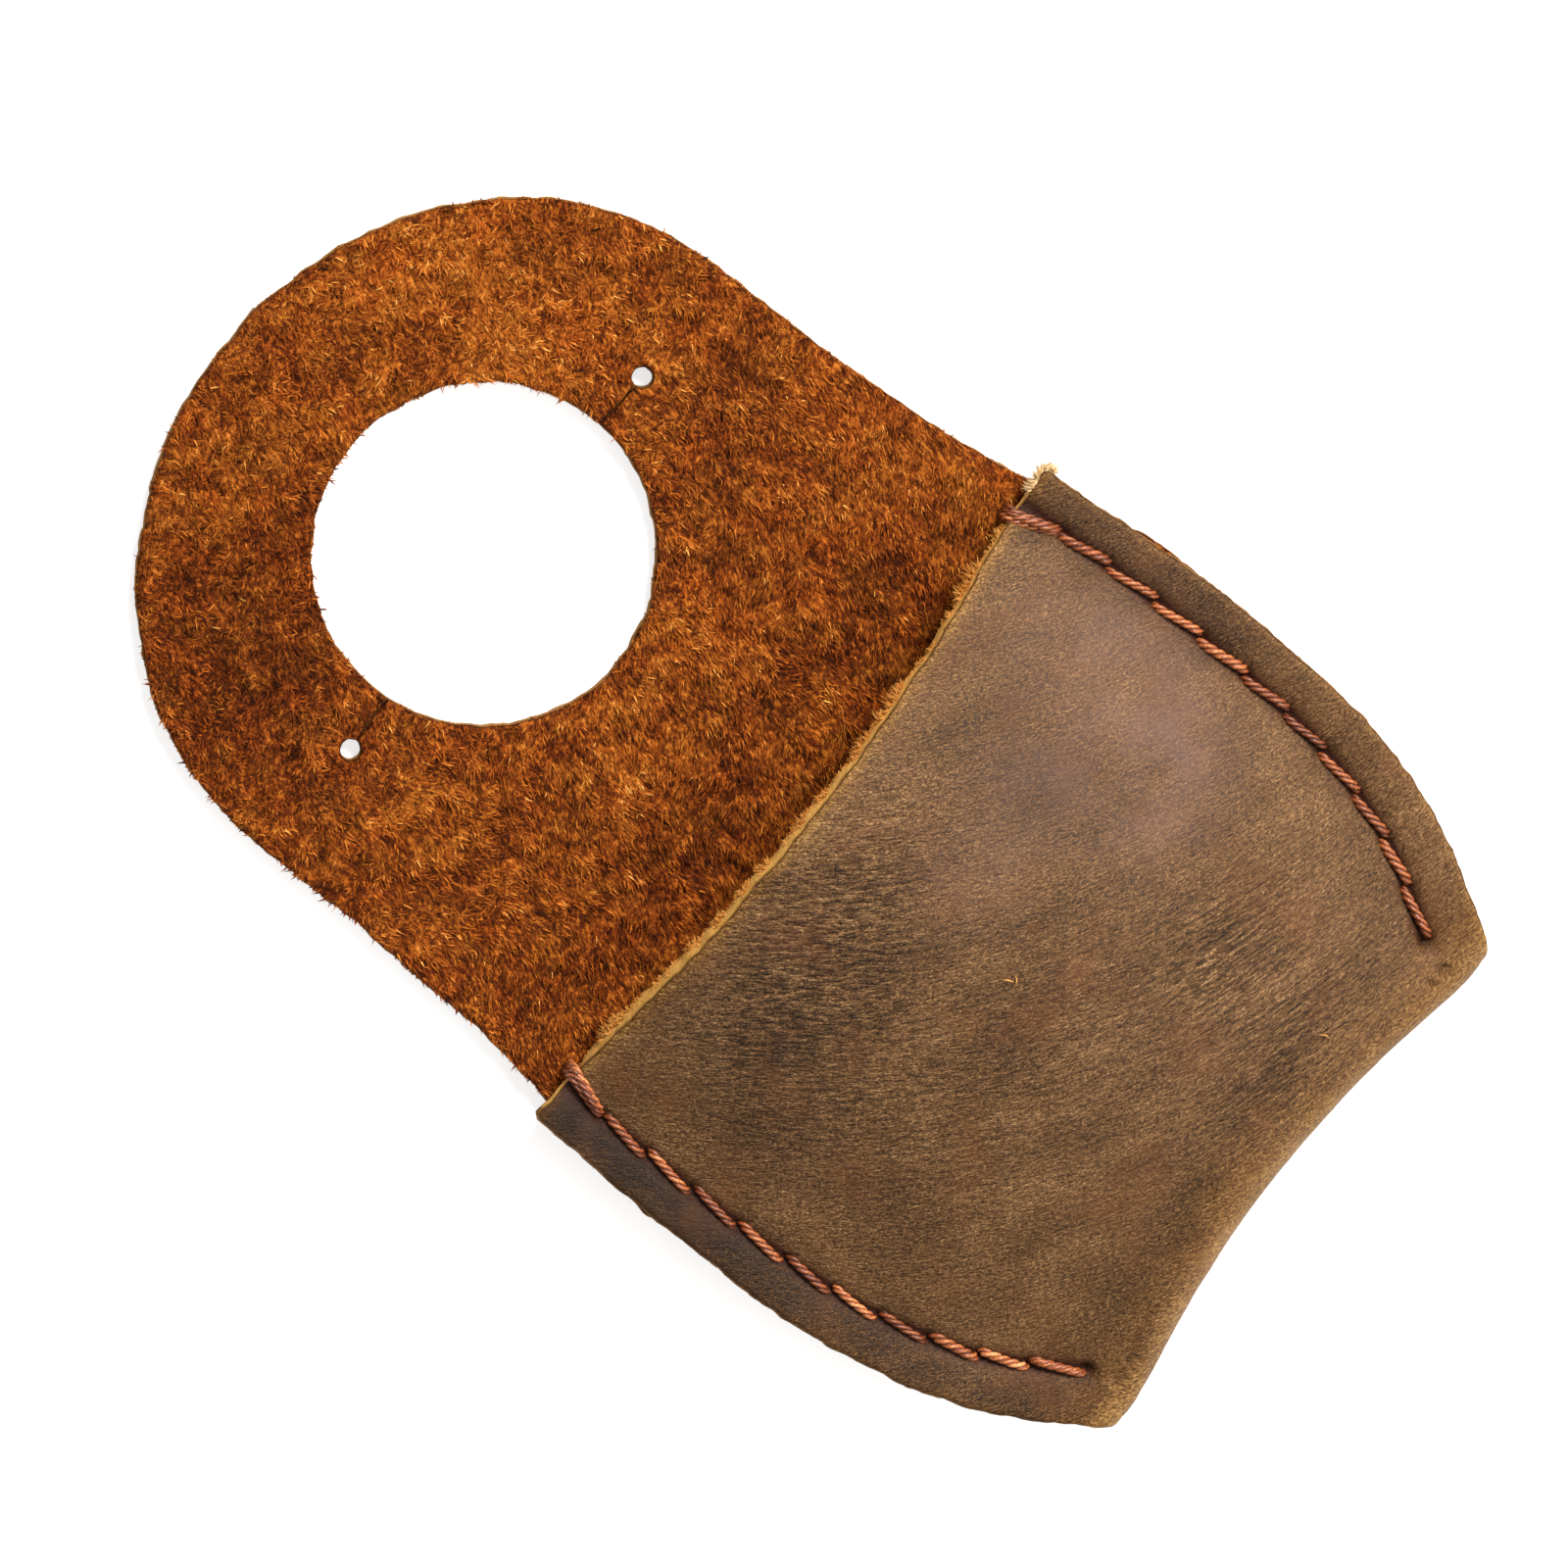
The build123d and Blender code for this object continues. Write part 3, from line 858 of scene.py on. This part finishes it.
nap = nap_material()
outer, hole = flat[:outer_count], flat[outer_count:outer_count + hole_count]
nap_end = -mouth_y + 7
nap_per_piece = 19500
nap_lengths, nap_widths, nap_lifts = (0.35, 0.80), (0.09, 0.20), (2, 26)


def random_flats(count, low, high):
    """Random flat points on the leather, between two rows of the sheet."""
    half_width = pocket_side[2][1] + 1
    across = random.uniform(-half_width, half_width, count)
    found = columns([across, random.uniform(low, high, count)])
    clear = cut_distance(found) > np.where(np.abs(found[:, 0]) > relief_offset - 1.6, 0.40, 0.06)
    return found[inside(found, outer) & ~inside(found, hole) & clear]


def nap_heading(flats):
    """Way that the nap lies, in the plane: combed towards the pocket low down, ruffled round the hole."""
    combed = atan2(-0.85, -0.6)
    spread = np.interp(flats[:, 1], [-10, 14, 28], [2.4, 1.1, 0.7])
    angle = combed + spread * (ripple(flats, 4.0, 7.0, 3) + random.normal(0, 0.38, len(flats)))
    return columns([np.cos(angle), np.sin(angle)])


def add_fibres(piece, material, bends):
    """Finishes a piece of leather fibres: gives it its material, then bakes its transform or attaches it to
    the pocket.
    """
    piece.data.materials.append(material)
    if bends:
        cross_neck(piece)
    else:
        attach(piece, "pocket")


for number in (1, 2, 3):
    flats = random_flats(nap_per_piece * 2, -tab_reach, nap_end)[:nap_per_piece]
    tuft = ripple(flats, 0.5, 31.0, 2)
    height = leather - 0.06 + nap_depth * (nap_relief(flats) - 0.5)
    roots = columns([flats[:, 0], -flats[:, 1], height])
    near_cut = np.clip(cut_distance(flats) / 0.8, 0.0, 1)
    # Darker near the slits and relief holes: painted shade in the cuts.
    tones = nap_tone(flats) + 0.20 * tuft + random.normal(0, 0.16, len(flats)) - 0.4 * (1 - near_cut)
    lengths = random.uniform(*nap_lengths, len(flats)) * (0.25 + 0.75 * near_cut)
    piece = make_blades(
        f"suede_nap_{number}", roots, nap_heading(flats), lengths,
        random.uniform(*nap_widths, len(flats)), np.radians(random.uniform(*nap_lifts, len(flats))),
        tones, -0.2, nap_gold(flats) + random.normal(0, 0.15, len(flats)))
    add_fibres(piece, nap, bends=True)

# Loose fibres along the cut edges of the tab, the hole and the lip, and the frayed tip of the right ear
rim_count = outer_count + hole_count
tab_rim = np.flatnonzero((flat[:rim_count, 1] < -mouth_y) & (cut_distance(flat[:rim_count]) > 0.6))
outer_x, outer_s = outer.T
lip_rim = np.flatnonzero((outer_s > outer_s.max() - lip_depth) & (np.abs(outer_x) < lip_half_width))
_, grain_y, grain_z = grain_points[:outer_count].T
ear_rim = np.flatnonzero((np.abs(grain_y - mouth_y) < 1.0) & (outer_x > 28) & (grain_z > leather))
fuzz_tone = {"edge_fuzz": 0.50, "lip_fuzz": 0.92, "ear_fuzz": 0.88}
for name, rim_part, per_point, longest in (
        ("edge_fuzz", tab_rim, 7, 0.32), ("lip_fuzz", lip_rim, 18, 0.60), ("ear_fuzz", ear_rim, 40, 1.1)):
    chosen = np.repeat(rim_part, per_point)
    after = np.where(chosen < outer_count, (chosen + 1) % outer_count, chosen + 1)
    after = np.where(after >= rim_count, outer_count, after)
    share = random.uniform(0, 1, len(chosen))[:, None]
    depth = random.uniform(0.25, 1.0, len(chosen))[:, None] ** 0.7 * (0.35 if name == "ear_fuzz" else 1)
    low = grain_points[chosen] * (1 - share) + grain_points[after] * share
    high = flesh_points[chosen] * (1 - share) + flesh_points[after] * share
    roots = low * (1 - depth) + high * depth
    heading = unit(rim_out[chosen][:, :2] + random.normal(0, 0.6, (len(chosen), 2)))
    ragged = np.clip(0.5 + 0.9 * ripple(flat[chosen], 1.3, 51.0, 2), 0.15, 1.2)
    ragged *= 1 + 0.7 * np.clip(flat[chosen, 0] / 12, 0, 1) * (name == "lip_fuzz")
    ragged = np.maximum(ragged, 0.9 if name == "ear_fuzz" else 0)
    tones = fuzz_tone[name] + random.normal(0, 0.12, len(chosen))
    piece = make_blades(
        name, roots, heading, random.uniform(0.3, 1.0, len(chosen)) * longest * ragged,
        random.uniform(0.10, 0.24, len(chosen)),
        np.radians(random.uniform(-10, 50, len(chosen))), tones, 0.3, np.full(len(chosen), 0.8))
    add_fibres(piece, frayed_material() if name == "ear_fuzz" else nap, bends=name == "edge_fuzz")


# Stray fibres lying on the pocket's front

def front_point(x, y, lift):
    """A point above the grain side of the pocket's front."""
    flat_point = flat_from_front(np.array([float(x)]), np.array([float(y)]))
    return (middle_surface(flat_point) - (half_leather + lift) * flesh_normal(flat_point))[0]


def unit_rings(side, rise, sides):
    """A unit ring of points at each place of a path, from its two cross directions."""
    around = (2 * pi * np.arange(sides) / sides)[None, :, None]
    return np.cos(around) * side[:, None] + np.sin(around) * rise[:, None]


def curl(name, centre, heading, length, radius, rise):
    """A thin curled fibre standing a little off the leather."""
    ahead = np.array([cos(heading), sin(heading)])
    steps = np.linspace(-0.5, 0.5, 12)
    path = [front_point(*(np.array(centre) + ahead * length * step + ahead[::-1] * [-1, 1] * 0.5 * step ** 2),
                        rise * (0.25 - step ** 2) * 4 - 0.02) for step in steps]
    path = np.array(path)
    sides = 5
    side = unit(columns([-np.gradient(path[:, 1]), np.gradient(path[:, 0]), np.zeros(len(path))]))
    taper = radius * np.clip(1.2 - 2 * np.abs(steps), 0.3, 1)
    ring = unit_rings(side, np.tile([0, 0, 1.0], (len(path), 1)), sides)
    points = (path[:, None] + ring * taper[:, None, None]).reshape(-1, 3)
    faces = []
    for low in range(0, len(points) - sides, sides):
        for corner in range(sides):
            after = (corner + 1) % sides
            faces.append((low + corner, low + after, low + sides + after, low + sides + corner))
    faces += [tuple(reversed(range(sides))), tuple(range(len(points) - sides, len(points)))]
    marks = [("tone", np.full(len(points), 0.97)), ("gold", np.ones(len(points)))]
    add_fibres(new_object(name, points, faces, marks), nap, bends=False)


curl("stray_fibre_1", (-0.8, -47.4), 2.0, 1.0, 0.06, 0.25)
curl("stray_fibre_2", (-0.5, -47.9), 0.6, 0.8, 0.05, 0.2)
curl("stray_fibre_3", (9.8, -69.3), 1.9, 0.9, 0.05, 0.25)


# Thread

def twisted_strand(path, strand_radius, turn_length, plies=3, sides=7, start_turn=0.0):
    """Points, faces and tones of plies twisted round a path of points, each a closed tube."""
    run = unit(np.gradient(path, axis=0))
    lengths = np.concatenate([[0], np.cumsum(np.linalg.norm(np.diff(path, axis=0), axis=1))])
    side = np.cross(run, [0.0, 0.0, 1.0])
    side /= np.maximum(np.linalg.norm(side, axis=1, keepdims=True), 1e-6)
    rise = np.cross(side, run)
    ply_radius = strand_radius * 0.56
    wind_radius = strand_radius - ply_radius * 0.92
    all_points, all_faces, tones = [], [], []
    # Painted shade towards both ends of the stitch, where it dives into its needle hole.
    end_shade = np.abs(2 * lengths / lengths[-1] - 1) ** 6
    shift = random.normal(0, 0.07)
    for ply in range(plies):
        turn = 2 * pi * (lengths / turn_length + ply / plies) + start_turn
        centre = path + wind_radius * (np.cos(turn)[:, None] * side + np.sin(turn)[:, None] * rise)
        base = sum(len(part) for part in all_points)
        ring = unit_rings(side, rise, sides)
        taper = np.ones(len(path))
        taper[[0, -1]] = 0.5
        tube = centre[:, None, :] + ring * (ply_radius * taper)[:, None, None]
        all_points.append(tube.reshape(-1, 3))
        for step in range(len(path) - 1):
            for corner in range(sides):
                after = (corner + 1) % sides
                low, high = base + step * sides, base + (step + 1) * sides
                all_faces.append((low + corner, high + corner, high + after, low + after))
        all_faces.append(tuple(base + corner for corner in range(sides)))
        all_faces.append(tuple(base + (len(path) - 1) * sides + corner for corner in reversed(range(sides))))
        # Lighter on the plies' outer crests and darker in the valleys between them: painted light and shade.
        ply_crest_light = np.linalg.norm(tube - path[:, None, :], axis=2) / strand_radius
        tones.append((0.05 + 0.70 * ply_crest_light + random.normal(0, 0.05) + shift - 0.45 * end_shade[:, None]).ravel())
    return np.vstack(all_points), all_faces, np.concatenate(tones)


def join_strands(name, strands):
    """One mesh object of several strands."""
    points, faces, tones = [], [], []
    for strand_points, strand_faces, strand_tones in strands:
        base = sum(len(part) for part in points)
        points.append(strand_points)
        faces += [tuple(base + corner for corner in face) for face in strand_faces]
        tones.append(strand_tones)
    return new_object(name, np.vstack(points), faces, [("tone", np.concatenate(tones))])


twist_length = 2.2
stitch_slant = 0.34
strand_radius = 0.345
front_thread_z = leather * 2 + layer_gap - 0.33
back_thread_z = 0.53


def stitch_path(start, end, level, dip, slant, count=22):
    """Centre line of one stitch between two needle holes, diving into the leather at both ends."""
    share = np.linspace(0, 1, count)
    run = (end - start) / np.linalg.norm(end - start)
    aside = np.array([-run[1], run[0]])
    plan = start + (end - start) * share[:, None] + aside * (slant * (share - 0.5) * 2)[:, None]
    fall = np.abs(2 * share - 1) ** 5
    return columns([plan, level - dip * fall])


def seam_strands(side, level, dip):
    """All stitches of one seam's thread on one face."""
    strands = []
    holes = needle_holes * [side, 1]
    for number in range(stitch_count):
        path = stitch_path(holes[number], holes[number + 1], level, dip, stitch_slant * side)
        path += random.normal(0, 0.02, (1, 3)) * [1, 1, 0]
        thickness = strand_radius * random.uniform(0.88, 1.10)
        strands.append(twisted_strand(path, thickness, twist_length, start_turn=random.uniform(0, 6)))
    return strands, holes


def needle_strands(side):
    """The front thread: a doubled start over the lip, the stitches, and a doubled last stitch."""
    strands, holes = seam_strands(side, front_thread_z, 0.85)
    lip_x = 25.5
    lip_point = np.array([side * lip_x, lip_line_y(lip_x) + 0.15])
    for offset, height in ((-0.34, 0.0), (0.34, 0.05), (0.05, 0.30)):
        aside = np.array([offset, 0.12 * offset])
        start, end = lip_point + aside, holes[0] + aside * 0.45
        share = np.linspace(0, 1, 20)
        plan = start + (end - start) * share[:, None]
        z = front_thread_z + 0.1 + height * np.sin(pi * share) - 0.85 * share ** 7
        over = columns([plan, z])
        drop = np.linspace(0, 1, 8)[:-1][:, None]
        below = np.array([start[0], start[1] + 0.42, leather - 0.1])
        bend_out = np.sin(pi * drop) * np.array([0, 0.12, 0.12])
        wrap = below + (over[0] - below) * drop + bend_out
        strands.append(twisted_strand(np.vstack([wrap, over]), 0.28, twist_length, start_turn=offset * 5))
    path = stitch_path(holes[-1], holes[-2], front_thread_z + 0.12, 0.9, 0.34 * side)
    strands.append(twisted_strand(path, strand_radius * 0.9, twist_length, start_turn=2.0))
    return strands


def bobbin_strands(side):
    """The back thread, bedded in its groove."""
    return seam_strands(side, back_thread_z, -0.45)[0]


thread = thread_material()
for label, side in (("right", 1), ("left", -1)):
    for kind, strands in (("needle", needle_strands(side)), ("bobbin", bobbin_strands(side))):
        piece = join_strands(f"{label}_{kind}_stitches", strands)
        piece.data.materials.append(thread)
        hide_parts(f"{label}_{kind}_thread")
        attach(piece, "pocket")


# Floor, lights and camera

floor_material = Shader("pale_floor", Roughness=0.9, Specular_IOR_Level=0.1, Base_Color=(0.6, 0.6, 0.6, 1.0),
                        Emission_Color=(1.0, 1.0, 1.0, 1.0), Emission_Strength=0.72).material
floor_half = 3000
floor_corners = np.array([(-1, -1, 0), (1, -1, 0), (1, 1, 0), (-1, 1, 0)]) * floor_half + [0, -25, -0.02]
floor = new_object("floor", floor_corners, [(0, 1, 2, 3)], smooth=False)
floor.data.materials.append(floor_material)

scene = bpy.context.scene
scene.view_settings.view_transform = "Standard"
world = bpy.data.worlds.new("studio")
scene.world = world
world.use_nodes = True
world.node_tree.nodes["Background"].inputs["Color"].default_value = (1.0, 0.99, 0.975, 1.0)
world.node_tree.nodes["Background"].inputs["Strength"].default_value = 0.42
target = Vector((0.21, -27.19, 3.0)) * MM
lamp_distance = 0.8


def area_light(name, direction, size, power):
    """A warm square lamp that looks at the object's middle. Its size is in metres."""
    lamp = bpy.data.lights.new(name, "AREA")
    lamp.size = size
    lamp.energy = power
    lamp.color = (1.0, 0.96, 0.90)
    made = bpy.data.objects.new(name, lamp)
    made.location = target + Vector(direction).normalized() * lamp_distance
    made.rotation_euler = (target - made.location).to_track_quat("-Z", "Y").to_euler()
    scene.collection.objects.link(made)


area_light("key", (0.9, 0.15, 1.0), 0.30, 13.0)
area_light("fill", (0.2, -1.0, 0.7), 0.5, 2.6)

view_tilt = radians(11.0)
view_heading = radians(7.7)
view_roll = radians(0.6)
view_distance = 0.6
image_up = Vector((0.789, 0.615, 0))
frame_width = 0.113
camera_data = bpy.data.cameras.new("camera")
camera_data.sensor_width = 36
camera_data.lens = camera_data.sensor_width * view_distance / frame_width
camera_data.clip_start = 0.01
camera = bpy.data.objects.new("camera", camera_data)
lean = sin(view_tilt)
toward = Vector((sin(view_heading) * lean, cos(view_heading) * lean, cos(view_tilt)))
up = (image_up - toward * image_up.dot(toward)).normalized()
right = up.cross(toward)
roll_cos, roll_sin = cos(view_roll), sin(view_roll)
up, right = up * roll_cos - right * roll_sin, right * roll_cos + up * roll_sin
view_axes = Matrix((right, up, toward)).transposed().to_4x4()
camera.matrix_world = Matrix.Translation(target + toward * view_distance) @ view_axes
scene.collection.objects.link(camera)
scene.camera = camera
